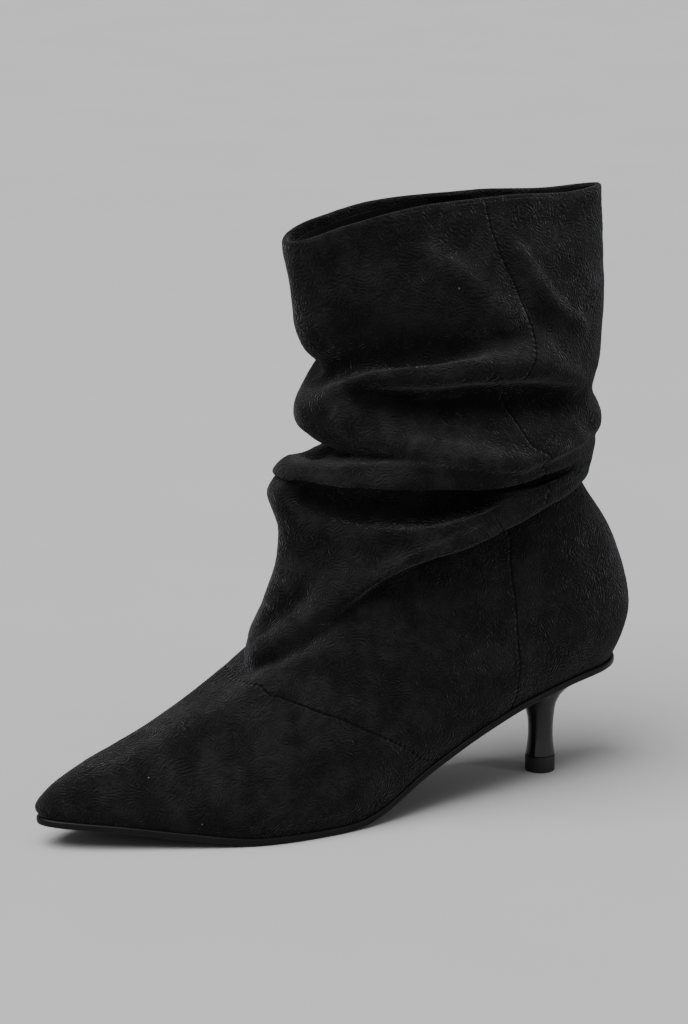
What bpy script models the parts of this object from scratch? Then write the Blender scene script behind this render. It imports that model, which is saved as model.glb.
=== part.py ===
"""Left slouch ankle boot: upper, insole, outsole, heel and heel tip.

The boot is drawn with x running from the back of the heel to the toe and +Y on the outer side.
The finished boot is moved so that its origin lies under the middle of its box, on the ground.
"""

from collections import namedtuple

import bmesh
import bpy
import numpy as np

# Driving sizes, in metres
FOOT_LENGTH = 0.253
BALL_WIDTH = 0.075
HEEL_HEIGHT = 0.0445
SHAFT_HEIGHT = 0.1935
TOE_SPRING = 0.0095
WALL = 0.0018
HEM_WALL = 0.0026
HEM_DEPTH = 0.0130
SOLE_THICKNESS = 0.0030
SOLE_RIM = 0.0012
SOLE_BEVEL = 0.0006
INSOLE_THICKNESS = 0.0020
HEEL_INSET = 0.0008
TIP_HEIGHT = 0.0066
TIP_RADIUS = 0.0060
TIP_BEVEL = 0.0004
GAP = 0.0003

# The cosine of half the sharpest turn that the wall follows squarely, out on a crest and in a crease
SHARPEST_CREST = 0.4
SHARPEST_CREASE = 0.75

# How finely the faceted solids are cut
AROUND = 60
HEEL_AROUND = 36
TIP_AROUND = 28

# Underside of the outsole: place along the foot as a share of its length. The arch share is of the
# heel height, and the spring share is of the toe spring.
SolePoint = namedtuple("SolePoint", "along arch spring")
SOLE_LINE = [
    SolePoint(0.00, 1.000, 0.00),
    SolePoint(0.10, 0.955, 0.00),
    SolePoint(0.21, 0.836, 0.00),
    SolePoint(0.30, 0.652, 0.00),
    SolePoint(0.38, 0.431, 0.00),
    SolePoint(0.42, 0.306, 0.00),
    SolePoint(0.46, 0.164, 0.00),
    SolePoint(0.49, 0.076, 0.00),
    SolePoint(0.52, 0.022, 0.00),
    SolePoint(0.56, 0.000, 0.00),
    SolePoint(0.68, 0.000, 0.00),
    SolePoint(0.79, 0.000, 0.34),
    SolePoint(0.90, 0.000, 0.76),
    SolePoint(1.00, 0.000, 1.00),
]

# Where the halves and rises of a row are given, from its back end (0) to its front end (1)
STATIONS = (0.0, 0.12, 0.36, 0.66, 0.86, 1.0)

# One closed line round the boot. It follows the sole line by its share "follow", or else starts at
# the heel height. back and front are shares of the foot length, and back_up, front_up, rises and
# inner_lift are shares of the shaft height: rises bow the line up between its ends, at the four
# inner stations, and inner_lift moves its inner half. halves are shares of the ball width, at all
# six stations: a row that goes in further than its neighbours is a crease, and one that stands out
# is the crest of a fold.
Row = namedtuple("Row", "name follow back front back_up front_up inner_lift rises halves")
FOOT_ROWS = [
    Row("feather", 1.0, 0.028, 0.992, 0.000, 0.000, 0.000,
        (0.000, 0.000, 0.000, 0.000), (0.560, 0.427, 0.400, 0.493, 0.387, 0.293)),
    Row("bulge", 1.0, 0.012, 0.999, 0.057, 0.018, 0.000,
        (0.001, 0.002, 0.002, 0.001), (0.693, 0.520, 0.440, 0.527, 0.413, 0.320)),
    Row("counter", 0.8, 0.004, 0.982, 0.114, 0.014, 0.000,
        (0.005, 0.010, 0.010, 0.003), (0.740, 0.560, 0.460, 0.513, 0.387, 0.320)),
    Row("low", 0.5, 0.012, 0.935, 0.185, 0.001, 0.000,
        (0.005, 0.015, 0.015, 0.000), (0.733, 0.560, 0.460, 0.460, 0.347, 0.333)),
    Row("mid", 0.2, 0.040, 0.834, 0.291, 0.000, 0.000,
        (0.010, 0.031, 0.036, 0.010), (0.640, 0.507, 0.433, 0.373, 0.307, 0.333)),
    Row("instep", 0.0, 0.085, 0.682, 0.385, 0.057, 0.000,
        (0.026, 0.047, 0.062, 0.021), (0.480, 0.453, 0.413, 0.353, 0.307, 0.333)),
]
SHAFT_ROWS = [
    Row("tuck", 0.0, 0.097, 0.652, 0.419, 0.085, 0.000,
        (0.031, 0.054, 0.085, 0.031), (0.453, 0.440, 0.413, 0.353, 0.307, 0.307)),
    Row("edge", 0.0, 0.081, 0.661, 0.424, 0.098, 0.005,
        (0.018, 0.047, 0.070, 0.021), (0.493, 0.513, 0.520, 0.440, 0.353, 0.320)),
    Row("skirt", 0.0, 0.076, 0.623, 0.437, 0.209, 0.010,
        (0.020, 0.036, 0.040, 0.000), (0.507, 0.520, 0.533, 0.513, 0.427, 0.333)),
    Row("apron", 0.0, 0.074, 0.596, 0.450, 0.344, 0.010,
        (0.003, -0.006, -0.030, -0.041), (0.507, 0.520, 0.533, 0.500, 0.413, 0.333)),
    Row("low_crest", 0.0, 0.072, 0.613, 0.463, 0.426, 0.013,
        (-0.008, -0.028, -0.062, -0.047), (0.507, 0.520, 0.520, 0.480, 0.400, 0.333)),
    Row("trough_foot", 0.0, 0.071, 0.599, 0.475, 0.452, 0.016,
        (-0.021, -0.044, -0.052, -0.039), (0.507, 0.507, 0.413, 0.347, 0.347, 0.333)),
    Row("trough_top", 0.0, 0.070, 0.593, 0.488, 0.464, 0.016,
        (-0.021, -0.034, -0.018, -0.010), (0.507, 0.507, 0.413, 0.347, 0.347, 0.333)),
    Row("mid_lip", 0.0, 0.070, 0.605, 0.501, 0.470, 0.016,
        (-0.021, -0.041, -0.028, -0.013), (0.507, 0.520, 0.527, 0.467, 0.413, 0.333)),
    Row("mid_face", 0.0, 0.068, 0.589, 0.519, 0.488, 0.016,
        (-0.021, -0.034, -0.008, -0.003), (0.507, 0.527, 0.540, 0.480, 0.400, 0.333)),
    Row("pinch", 0.0, 0.068, 0.502, 0.537, 0.500, 0.016,
        (-0.018, -0.026, -0.010, 0.003), (0.507, 0.527, 0.540, 0.493, 0.347, 0.187)),
    Row("mid_crest", 0.0, 0.070, 0.542, 0.558, 0.530, 0.018,
        (-0.018, -0.026, -0.008, 0.010), (0.507, 0.513, 0.513, 0.480, 0.400, 0.320)),
    Row("valley", 0.0, 0.074, 0.565, 0.589, 0.566, 0.010,
        (-0.003, 0.018, 0.028, 0.036), (0.480, 0.453, 0.400, 0.373, 0.373, 0.347)),
    Row("top_lip", 0.0, 0.071, 0.569, 0.615, 0.596, 0.005,
        (0.005, 0.041, 0.054, 0.047), (0.480, 0.487, 0.493, 0.453, 0.400, 0.347)),
    Row("top_crest", 0.0, 0.067, 0.559, 0.643, 0.625, 0.005,
        (0.013, 0.059, 0.062, 0.047), (0.480, 0.487, 0.493, 0.453, 0.400, 0.320)),
    Row("top_crease", 0.0, 0.062, 0.536, 0.690, 0.661, 0.008,
        (0.023, 0.054, 0.039, 0.028), (0.480, 0.453, 0.413, 0.373, 0.347, 0.293)),
    Row("shaft_low", 0.0, 0.057, 0.557, 0.762, 0.721, 0.005,
        (0.021, 0.041, 0.039, 0.028), (0.453, 0.413, 0.393, 0.367, 0.347, 0.320)),
    Row("shaft_high", 0.0, 0.055, 0.574, 0.886, 0.822, 0.000,
        (0.005, 0.028, 0.039, 0.026), (0.333, 0.307, 0.307, 0.307, 0.320, 0.320)),
    Row("collar", 0.0, 0.055, 0.583, 1.000, 0.915, -0.010,
        (0.003, 0.026, 0.039, 0.023), (0.200, 0.200, 0.207, 0.240, 0.280, 0.307)),
]
# Rows that are followed by two rings of facets and not by one
FINER = (
    "bulge", "counter", "low", "mid", "skirt", "mid_face",
    "mid_crest", "top_crest", "shaft_low", "shaft_high",
)

# The inner side of the foot: hollow at the waist and fuller at the ball. Each is a share of the
# half width there, centred along the row and with its reach along it.
Swell = namedtuple("Swell", "amount centre reach")
INNER_SWELLS = [Swell(-0.20, 0.42, 0.13), Swell(0.06, 0.74, 0.10)]

# The heel: fall runs from the seat (0) to the tip (1). back and front are shares of the foot
# length, half of the ball width, and round turns the seat's outline into an ellipse.
HeelRow = namedtuple("HeelRow", "fall back front half round")
HEEL_ROWS = [
    HeelRow(0.05, 0.066, 0.208, 0.240, 0.35),
    HeelRow(0.11, 0.086, 0.196, 0.186, 0.60),
    HeelRow(0.18, 0.100, 0.187, 0.143, 0.85),
    HeelRow(0.27, 0.114, 0.179, 0.109, 1.00),
    HeelRow(0.38, 0.122, 0.172, 0.086, 1.00),
    HeelRow(0.55, 0.125, 0.167, 0.071, 1.00),
    HeelRow(0.78, 0.126, 0.166, 0.067, 1.00),
    HeelRow(1.00, 0.123, 0.169, 0.077, 1.00),
]
BREAST = 0.215


def smooth_curve(xs, ys, x):
    """A cubic through the points that never overshoots them."""
    xs = np.asarray(xs, float)
    ys = np.asarray(ys, float)
    rise = np.diff(ys) / np.diff(xs)
    slope = np.empty_like(ys)
    both = rise[:-1] * rise[1:]
    total = rise[:-1] + rise[1:]
    slope[1:-1] = np.where(both > 0, 2 * both / np.where(both > 0, total, 1), 0)
    slope[0] = 1.5 * rise[0] - 0.5 * slope[1]
    slope[-1] = 1.5 * rise[-1] - 0.5 * slope[-2]
    i = np.clip(np.searchsorted(xs, x, side="right") - 1, 0, len(xs) - 2)
    step = xs[i + 1] - xs[i]
    t = (x - xs[i]) / step
    start = ys[i] * (2 * t**3 - 3 * t**2 + 1) + slope[i] * step * (t**3 - 2 * t**2 + t)
    end = ys[i + 1] * (3 * t**2 - 2 * t**3) + slope[i + 1] * step * (t**3 - t**2)
    return start + end


def sole_height(x):
    """Height of the outsole's underside at x."""
    along = np.clip(np.asarray(x, float) / FOOT_LENGTH, 0, 1)
    places = [point.along for point in SOLE_LINE]
    arch = smooth_curve(places, [point.arch for point in SOLE_LINE], along)
    spring = smooth_curve(places, [point.spring for point in SOLE_LINE], along)
    return HEEL_HEIGHT * arch + TOE_SPRING * spring


def feather_height(x):
    """Height of the upper's lower edge at x."""
    return sole_height(x) + SOLE_THICKNESS


def row_half(row, share, inner):
    """Half width of a row at a share of its length, on its outer or inner side."""
    half = BALL_WIDTH * smooth_curve(STATIONS, row.halves, share)
    for swell in INNER_SWELLS:
        bump = np.exp(-(((share - swell.centre) / swell.reach) ** 2))
        half = half * (1 + inner * row.follow * swell.amount * bump)
    return half * np.sqrt(np.maximum(4 * share * (1 - share), 0))


def ring(row, count):
    """A row's points, from the back round the outer side to the front and home by the inner side."""
    turn = np.linspace(0, 2 * np.pi, count, endpoint=False)
    share = (1 - np.cos(turn)) / 2
    inner = np.where(np.sin(turn) < -1e-9, 1.0, 0.0)
    x = FOOT_LENGTH * (row.back + (row.front - row.back) * share)
    y = row_half(row, share, inner) * np.where(inner > 0, -1.0, 1.0)
    rise = smooth_curve(STATIONS, (0.0, *row.rises, 0.0), share)
    lift = inner * row.inner_lift * np.sin(turn) ** 2
    up = row.back_up * (1 - share) + row.front_up * share + rise + lift
    base = row.follow * feather_height(x) + (1 - row.follow) * HEEL_HEIGHT
    return np.stack([x, y, base + SHAFT_HEIGHT * up], axis=-1)


def between(before, start, end, after, share):
    """A point on the centripetal curve through four rings, at a share of the way from start to end."""
    knots = [np.zeros(len(start))]
    for a, b in ((before, start), (start, end), (end, after)):
        knots.append(knots[-1] + np.sqrt(np.maximum(np.linalg.norm(b - a, axis=-1), 1e-7)))
    at = knots[1] + (knots[2] - knots[1]) * share

    def mix(a, b, first, last):
        weight = ((at - first) / (last - first))[:, None]
        return a * (1 - weight) + b * weight

    a = mix(before, start, knots[0], knots[1])
    b = mix(start, end, knots[1], knots[2])
    c = mix(end, after, knots[2], knots[3])
    return mix(mix(a, b, knots[0], knots[2]), mix(b, c, knots[1], knots[3]), knots[1], knots[2])


def skin(rows, count):
    """Rings of points over the rows, with one or two steps after each row."""
    rings = [ring(row, count) for row in rows]
    rings = [2 * rings[0] - rings[1], *rings, 2 * rings[-1] - rings[-2]]
    points = []
    for i, row in enumerate(rows[:-1]):
        many = 2 if row.name in FINER else 1
        for step in range(many):
            points.append(between(*rings[i : i + 4], step / many))
    points.append(rings[-2])
    return np.array(points)


def outward(points):
    """Normals of a stack of rings, longer where a fold turns a corner, level on the end rings."""
    around = np.roll(points, -1, axis=1) - np.roll(points, 1, axis=1)
    step = np.diff(points, axis=0)
    step = step / np.linalg.norm(step, axis=-1, keepdims=True)
    up = np.concatenate([step[:1], (step[:-1] + step[1:]) / 2, step[-1:]])
    turn = np.concatenate([0 * step[:1], step[1:] - step[:-1], 0 * step[-1:]])
    normal = np.cross(up, around)
    normal[0, :, 2] = 0
    normal[-1, :, 2] = 0
    normal = normal / np.linalg.norm(normal, axis=-1, keepdims=True)
    crest = (turn * normal).sum(axis=-1, keepdims=True) < 0
    corner = np.linalg.norm(up, axis=-1, keepdims=True)
    return normal / np.clip(corner, np.where(crest, SHARPEST_CREST, SHARPEST_CREASE), 1)


def wall_at(points):
    """Thickness of the wall on each ring: thicker where the collar is turned over."""
    climb = np.linalg.norm(np.diff(points, axis=0), axis=-1).mean(axis=1)
    below_collar = np.append(np.cumsum(climb[::-1])[::-1], 0.0)
    return np.where(below_collar < HEM_DEPTH, HEM_WALL, WALL)


def lining_of(points):
    """The inside of the wall."""
    inside = points - wall_at(points)[:, None, None] * outward(points)
    inside[0, :, 2] = feather_height(inside[0, :, 0])
    inside[-1, :, 2] = points[-1, :, 2]
    return inside


def level_outward(outline):
    """Unit normals of an outline, in plan."""
    along = np.roll(outline, -1, axis=0) - np.roll(outline, 1, axis=0)
    normal = np.stack([-along[:, 1], along[:, 0]], axis=-1)
    return normal / np.linalg.norm(normal, axis=-1, keepdims=True)


def grown(outline, distance):
    """An outline in plan moved outwards by a distance."""
    return outline[:, :2] + distance * level_outward(outline[:, :2])


def raised(outline, heights):
    """An outline in plan given heights."""
    return np.column_stack([outline[:, :2], heights])


def principled(name, colour, roughness, coat=0.0):
    material = bpy.data.materials.new(name)
    material.use_nodes = True
    shader = material.node_tree.nodes["Principled BSDF"]
    shader.inputs["Base Color"].default_value = (*colour, 1.0)
    shader.inputs["Roughness"].default_value = roughness
    shader.inputs["Metallic"].default_value = 0.0
    shader.inputs["Coat Weight"].default_value = coat
    return material


def strip_cap(mesh, ring_vertices, upwards):
    """Closes a ring with a strip of faces from side to side, so that it follows the length's curve."""
    count = len(ring_vertices)
    for i in range(count // 2):
        corners = [ring_vertices[i], ring_vertices[i + 1]]
        corners.append(ring_vertices[(count - i - 1) % count])
        corners.append(ring_vertices[(count - i) % count])
        distinct = list(dict.fromkeys(corners))
        mesh.faces.new(distinct if upwards else distinct[::-1])


def lofted(name, rings, material, closed_loop=False):
    """One closed solid over rings that run up its outside. Its ends are capped, or it is a tube."""
    mesh = bmesh.new()
    rows = [[mesh.verts.new(point) for point in points] for points in rings]
    count = len(rows[0])
    pairs = list(zip(rows, rows[1:]))
    if closed_loop:
        pairs.append((rows[-1], rows[0]))
    for lower, upper in pairs:
        for i in range(count):
            j = (i + 1) % count
            mesh.faces.new((lower[j], lower[i], upper[i], upper[j]))
    if not closed_loop:
        strip_cap(mesh, rows[0], upwards=True)
        strip_cap(mesh, rows[-1], upwards=False)
    bmesh.ops.recalc_face_normals(mesh, faces=mesh.faces)
    data = bpy.data.meshes.new(name)
    mesh.to_mesh(data)
    mesh.free()
    data.shade_smooth()
    data.set_sharp_from_angle(angle=0.7)
    data.materials.append(material)
    piece = bpy.data.objects.new(name, data)
    bpy.context.scene.collection.objects.link(piece)
    return piece


def upper():
    outside = skin(FOOT_ROWS + SHAFT_ROWS, AROUND)
    inside = lining_of(outside)
    suede = principled("black_suede", (0.012, 0.012, 0.014), 0.95)
    piece = lofted("upper", [*outside, *inside[::-1]], suede, closed_loop=True)
    return piece, outside, inside


def insole(inside):
    outline = grown(inside[0], -GAP)
    bottom = feather_height(outline[:, 0])
    lining = principled("black_lining", (0.010, 0.010, 0.011), 0.80)
    rings = [raised(outline, bottom), raised(outline, bottom + INSOLE_THICKNESS)]
    return lofted("insole", rings, lining)


def outsole(outside):
    edge = grown(outside[0], SOLE_RIM)
    foot = grown(outside[0], SOLE_RIM - SOLE_BEVEL)
    top = feather_height(edge[:, 0]) - GAP
    rings = [
        raised(foot, sole_height(foot[:, 0])),
        raised(edge, sole_height(edge[:, 0]) + SOLE_BEVEL),
        raised(edge, top),
    ]
    return lofted("outsole", rings, principled("black_sole", (0.014, 0.014, 0.015), 0.45))


def seat_outline(outside):
    """The heel's top in plan: the back of the upper's lower edge, cut straight at the breast."""
    feather = outside[0]
    turn = np.linspace(0, 2 * np.pi, HEEL_AROUND, endpoint=False)
    back = feather[0, 0] + HEEL_INSET
    x = back + (FOOT_LENGTH * BREAST - back) * (1 - np.cos(turn)) / 2
    half_count = AROUND // 2 + 1
    outer = np.interp(x, feather[:half_count, 0], feather[:half_count, 1])
    inner_points = np.concatenate([feather[half_count - 1 :], feather[:1]])[::-1]
    inner = np.interp(x, inner_points[:, 0], inner_points[:, 1])
    side = np.sin(turn)
    full = np.clip(np.abs(side) * 1.9, 0, 1)
    y = np.where(side >= 0, outer - HEEL_INSET, inner + HEEL_INSET) * full
    return np.column_stack([x, y])


def heel(outside):
    seat = seat_outline(outside)
    reach = (seat[:, 0] - seat[:, 0].min()) / np.ptp(seat[:, 0])
    width = seat[:, 1] / np.abs(seat[:, 1]).max()
    turn = np.linspace(0, 2 * np.pi, HEEL_AROUND, endpoint=False)
    rings = [raised(seat, sole_height(seat[:, 0]) - GAP)]
    for row in HEEL_ROWS:
        share = reach * (1 - row.round) + (1 - np.cos(turn)) / 2 * row.round
        side = width * (1 - row.round) + np.sin(turn) * row.round
        x = FOOT_LENGTH * (row.back + (row.front - row.back) * share)
        y = BALL_WIDTH * row.half * side
        top = sole_height(x) - GAP
        z = top + (TIP_HEIGHT + GAP - top) * row.fall
        rings.append(np.column_stack([x, y, z]))
    gloss = principled("black_gloss", (0.008, 0.008, 0.009), 0.08, coat=1.0)
    return lofted("heel", rings[::-1], gloss)


def heel_tip():
    foot = HEEL_ROWS[-1]
    centre = FOOT_LENGTH * (foot.back + foot.front) / 2
    turn = np.linspace(0, 2 * np.pi, TIP_AROUND, endpoint=False)
    rings = []
    for radius, height in (
        (TIP_RADIUS - TIP_BEVEL, 0.0),
        (TIP_RADIUS, TIP_BEVEL),
        (TIP_RADIUS, TIP_HEIGHT),
    ):
        x = centre - radius * np.cos(turn)
        rings.append(np.column_stack([x, radius * np.sin(turn), np.full(TIP_AROUND, height)]))
    return lofted("heel_tip", rings, principled("black_rubber", (0.015, 0.015, 0.015), 0.70))


def main():
    for thing in list(bpy.data.objects):
        bpy.data.objects.remove(thing)
    shell, outside, inside = upper()
    pieces = [shell, insole(inside), outsole(outside), heel(outside), heel_tip()]
    corners = np.array([piece.bound_box for piece in pieces]).reshape(-1, 3)
    middle = (corners.min(axis=0) + corners.max(axis=0)) / 2
    for piece in pieces:
        piece.location = (-middle[0], -middle[1], 0.0)


main()
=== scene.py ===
"""Left slouch ankle boot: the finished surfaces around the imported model.

The boot is drawn with x running from the back of the heel to the toe and +Y on the outer side, and is
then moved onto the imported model. A turn round the boot runs from the back (0 degrees) by the outer
side (90) to the front (180) and home by the inner side (270).
"""

import math
from collections import namedtuple

import bpy
import numpy as np
from bpy.props import FloatProperty, FloatVectorProperty, PointerProperty
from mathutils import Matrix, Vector, kdtree, noise


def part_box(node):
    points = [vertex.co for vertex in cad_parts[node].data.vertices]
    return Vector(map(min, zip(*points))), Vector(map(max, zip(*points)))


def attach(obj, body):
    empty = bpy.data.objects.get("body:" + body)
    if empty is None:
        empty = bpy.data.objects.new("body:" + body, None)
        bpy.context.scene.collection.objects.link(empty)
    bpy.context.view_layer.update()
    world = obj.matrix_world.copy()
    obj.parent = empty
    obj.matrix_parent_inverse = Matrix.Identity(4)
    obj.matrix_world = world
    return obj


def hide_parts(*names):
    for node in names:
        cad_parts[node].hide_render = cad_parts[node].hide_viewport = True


bl_info = {
    "name": "Slouch Boot",
    "version": (1, 0, 0),
    "blender": (4, 5, 0),
    "location": "View3D > Sidebar > Boot",
    "description": "Builds the finished surfaces of a left slouch ankle boot",
    "category": "Object",
}

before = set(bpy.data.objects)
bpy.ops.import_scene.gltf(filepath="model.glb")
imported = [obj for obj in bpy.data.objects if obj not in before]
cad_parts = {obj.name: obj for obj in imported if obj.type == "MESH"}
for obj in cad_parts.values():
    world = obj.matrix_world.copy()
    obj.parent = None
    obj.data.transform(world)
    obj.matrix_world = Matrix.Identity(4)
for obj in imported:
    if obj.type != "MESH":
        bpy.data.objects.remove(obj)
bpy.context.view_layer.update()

MM = 0.001

# How finely the pieces are cut
AROUND = 360
RING_STEP = 1.5 * MM
LINING_AROUND = 180
HEEL_AROUND = 96
HEEL_STEPS = 5
TIP_AROUND = 72
LIP_RINGS = 6
# Shares of its outline at which a face across a piece is cut
INWARDS = (0.985, 0.93, 0.8, 0.6, 0.4, 0.2, 0.0)

# Cosines of half the sharpest turns, over a crest and in a crease, that the inner walls follow
SHARPEST_CREST = 0.4
SHARPEST_CREASE = 0.75

# A crease acts within this many levels of its line, and fades over this share of it at each end
CREASE_SPREAD = 2.6
CREASE_FADE = 0.22

# A seam acts within this reach and this many levels of its line, and is drawn in beside it
SEAM_REACH = 6 * MM
SEAM_SPREAD = 1.6
SEAM_DEPTH = 0.25 * MM
SEAM_WIDTH = 1.6 * MM
SEAM_COLOUR = (0.0006, 0.0006, 0.0006)
# Puckers along a seam, in radians to a millimetre
PUCKERS = 2.5

# Depths of the soft dents in the foot and in the loose shaft, the levels between which the suede
# comes loose, and how many dents there are to a metre
FIRM_DENTS = 0.12 * MM
LOOSE_DENTS = 0.50 * MM
LOOSE_FROM = (5.0, 8.0)
DENTS_TO_A_METRE = 62

# The nap's fuzz: its depth, and its layers, each with its number to a metre and its share
FUZZ = 0.07 * MM
FUZZ_LAYERS = ((560, 1.0), (1300, 0.6))

# What separates the lining from the suede, and the outsole from the upper and the heel
LINING_GAP = 0.02 * MM
SOLE_GAP = 0.05 * MM

# Small rounded edges, and the width of the rings cut into the tip's end faces
INSOLE_ROUND = 0.5 * MM
TIP_INSET = 1.2 * MM
TIP_EDGE = 0.35 * MM
# The tip's end faces are those whose normals rise or fall by more than this
END_FACE = 0.9

# The outsole's edge from below: how far in from the rim, in millimetres, and its share of the
# thickness
SOLE_EDGE = (
    (0.9, 0.0), (0.45, 0.04), (0.15, 0.14), (0.0, 0.3), (0.0, 0.74), (0.12, 0.88), (0.4, 0.97), (0.8, 1.0)
)

# The photograph's view: angles in degrees, and the camera's distance and target in metres
VIEW_AZIMUTH = 155.1
VIEW_ELEVATION = 14.7
VIEW_DISTANCE = 1.273
VIEW_TARGET = (-0.0025, 0.0, 0.1172)
VIEW_LENS = 116.1
SENSOR_WIDTH = 36.0

FLOOR_SIZE = 60.0
STRIP_ELEVATION = 12
STRIP_HEIGHT = 1.0

# Underside of the outsole: place along the foot, its rise as a share of the heel height, and its
# spring as a share of the toe spring
SolePoint = namedtuple("SolePoint", "along arch spring")
SOLE_LINE = [
    SolePoint(*point)
    for point in (
        (0.0, 1.0, 0.0), (0.1, 0.955, 0.0), (0.21, 0.836, 0.0), (0.3, 0.652, 0.0), (0.38, 0.431, 0.0),
        (0.42, 0.306, 0.0), (0.46, 0.164, 0.0), (0.49, 0.076, 0.0), (0.52, 0.022, 0.0), (0.56, 0.0, 0.0),
        (0.68, 0.0, 0.0), (0.79, 0.0, 0.34), (0.9, 0.0, 0.76), (1.0, 0.0, 1.0),
    )
]

# Where the halves and rises of a row are given, from its back end (0) to its front end (1)
STATIONS = (0.0, 0.12, 0.36, 0.66, 0.86, 1.0)

# One closed line round the boot, from the sole up to the collar. A row follows the sole line by its
# share "follow", or else starts at the heel height. back and front are shares of the foot length,
# back_up, front_up, rises and inner_lift of the shaft height, and halves of the ball width.
Row = namedtuple("Row", "name follow back front back_up front_up inner_lift rises halves")
ROWS = [
    Row("feather", 1.0, 0.028, 0.992, 0.0, 0.0, 0.0,
        (0.0, 0.0, 0.0, 0.0), (0.56, 0.427, 0.4, 0.493, 0.387, 0.293)),
    Row("bulge", 1.0, 0.012, 0.999, 0.057, 0.018, 0.0,
        (0.001, 0.002, 0.002, 0.001), (0.693, 0.52, 0.44, 0.527, 0.413, 0.32)),
    Row("counter", 0.8, 0.004, 0.982, 0.114, 0.014, 0.0,
        (0.005, 0.01, 0.01, 0.003), (0.74, 0.56, 0.46, 0.513, 0.387, 0.32)),
    Row("low", 0.5, 0.012, 0.935, 0.185, 0.001, 0.0,
        (0.005, 0.015, 0.015, 0.0), (0.733, 0.56, 0.46, 0.46, 0.347, 0.333)),
    Row("mid", 0.2, 0.04, 0.834, 0.291, 0.0, 0.0,
        (0.01, 0.031, 0.036, 0.01), (0.64, 0.507, 0.433, 0.373, 0.307, 0.333)),
    Row("instep", 0.0, 0.085, 0.682, 0.385, 0.057, 0.0,
        (0.026, 0.047, 0.062, 0.021), (0.48, 0.453, 0.413, 0.375, 0.335, 0.333)),
    Row("tuck", 0.0, 0.097, 0.654, 0.419, 0.08, 0.0,
        (0.031, 0.054, 0.078, 0.024), (0.453, 0.44, 0.413, 0.395, 0.345, 0.32)),
    Row("edge", 0.0, 0.081, 0.656, 0.424, 0.104, 0.005,
        (0.018, 0.047, 0.07, 0.021), (0.493, 0.513, 0.52, 0.44, 0.353, 0.32)),
    Row("skirt", 0.0, 0.076, 0.623, 0.437, 0.209, 0.01,
        (0.02, 0.036, 0.04, 0.0), (0.507, 0.52, 0.533, 0.513, 0.427, 0.333)),
    Row("apron", 0.0, 0.074, 0.596, 0.45, 0.344, 0.01,
        (0.003, -0.006, -0.03, -0.041), (0.507, 0.52, 0.533, 0.5, 0.413, 0.333)),
    Row("low_crest", 0.0, 0.072, 0.613, 0.463, 0.426, 0.013,
        (-0.008, -0.028, -0.062, -0.047), (0.507, 0.52, 0.52, 0.48, 0.4, 0.333)),
    Row("trough_foot", 0.0, 0.071, 0.599, 0.475, 0.452, 0.016,
        (-0.021, -0.044, -0.052, -0.039), (0.507, 0.507, 0.413, 0.347, 0.347, 0.333)),
    Row("trough_top", 0.0, 0.07, 0.593, 0.488, 0.464, 0.016,
        (-0.021, -0.034, -0.018, -0.01), (0.507, 0.507, 0.413, 0.347, 0.347, 0.333)),
    Row("mid_lip", 0.0, 0.07, 0.605, 0.501, 0.47, 0.016,
        (-0.021, -0.041, -0.028, -0.013), (0.507, 0.52, 0.527, 0.467, 0.413, 0.333)),
    Row("mid_face", 0.0, 0.068, 0.589, 0.519, 0.488, 0.016,
        (-0.021, -0.034, -0.008, -0.003), (0.507, 0.527, 0.54, 0.48, 0.4, 0.333)),
    Row("pinch", 0.0, 0.068, 0.502, 0.537, 0.5, 0.016,
        (-0.018, -0.026, -0.01, 0.003), (0.507, 0.527, 0.545, 0.54, 0.53, 0.34)),
    Row("mid_crest", 0.0, 0.07, 0.542, 0.558, 0.53, 0.018,
        (-0.018, -0.026, -0.008, 0.01), (0.507, 0.513, 0.513, 0.48, 0.4, 0.32)),
    Row("valley", 0.0, 0.074, 0.565, 0.589, 0.566, 0.01,
        (-0.003, 0.018, 0.028, 0.036), (0.48, 0.453, 0.4, 0.373, 0.373, 0.347)),
    Row("top_lip", 0.0, 0.071, 0.569, 0.615, 0.596, 0.005,
        (0.005, 0.041, 0.054, 0.047), (0.48, 0.487, 0.493, 0.453, 0.4, 0.347)),
    Row("top_crest", 0.0, 0.067, 0.559, 0.643, 0.625, 0.005,
        (0.013, 0.059, 0.062, 0.047), (0.48, 0.487, 0.493, 0.453, 0.4, 0.32)),
    Row("top_crease", 0.0, 0.062, 0.536, 0.69, 0.661, 0.008,
        (0.023, 0.054, 0.039, 0.028), (0.48, 0.453, 0.413, 0.373, 0.347, 0.293)),
    Row("shaft_low", 0.0, 0.057, 0.557, 0.762, 0.721, 0.005,
        (0.021, 0.041, 0.039, 0.028), (0.453, 0.413, 0.393, 0.367, 0.347, 0.32)),
    Row("shaft_high", 0.0, 0.055, 0.574, 0.886, 0.822, 0.0,
        (0.005, 0.028, 0.039, 0.026), (0.333, 0.307, 0.307, 0.307, 0.32, 0.32)),
    Row("collar", 0.0, 0.055, 0.583, 1.0, 0.931, -0.01,
        (0.003, 0.026, 0.039, 0.026), (0.2, 0.2, 0.207, 0.24, 0.28, 0.307)),
]
ROW_NAMES = [row.name for row in ROWS]

# The inner side of the foot: hollow at the waist and fuller at the ball
Swell = namedtuple("Swell", "amount centre reach")
INNER_SWELLS = [Swell(-0.20, 0.42, 0.13), Swell(0.06, 0.74, 0.10)]

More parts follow.
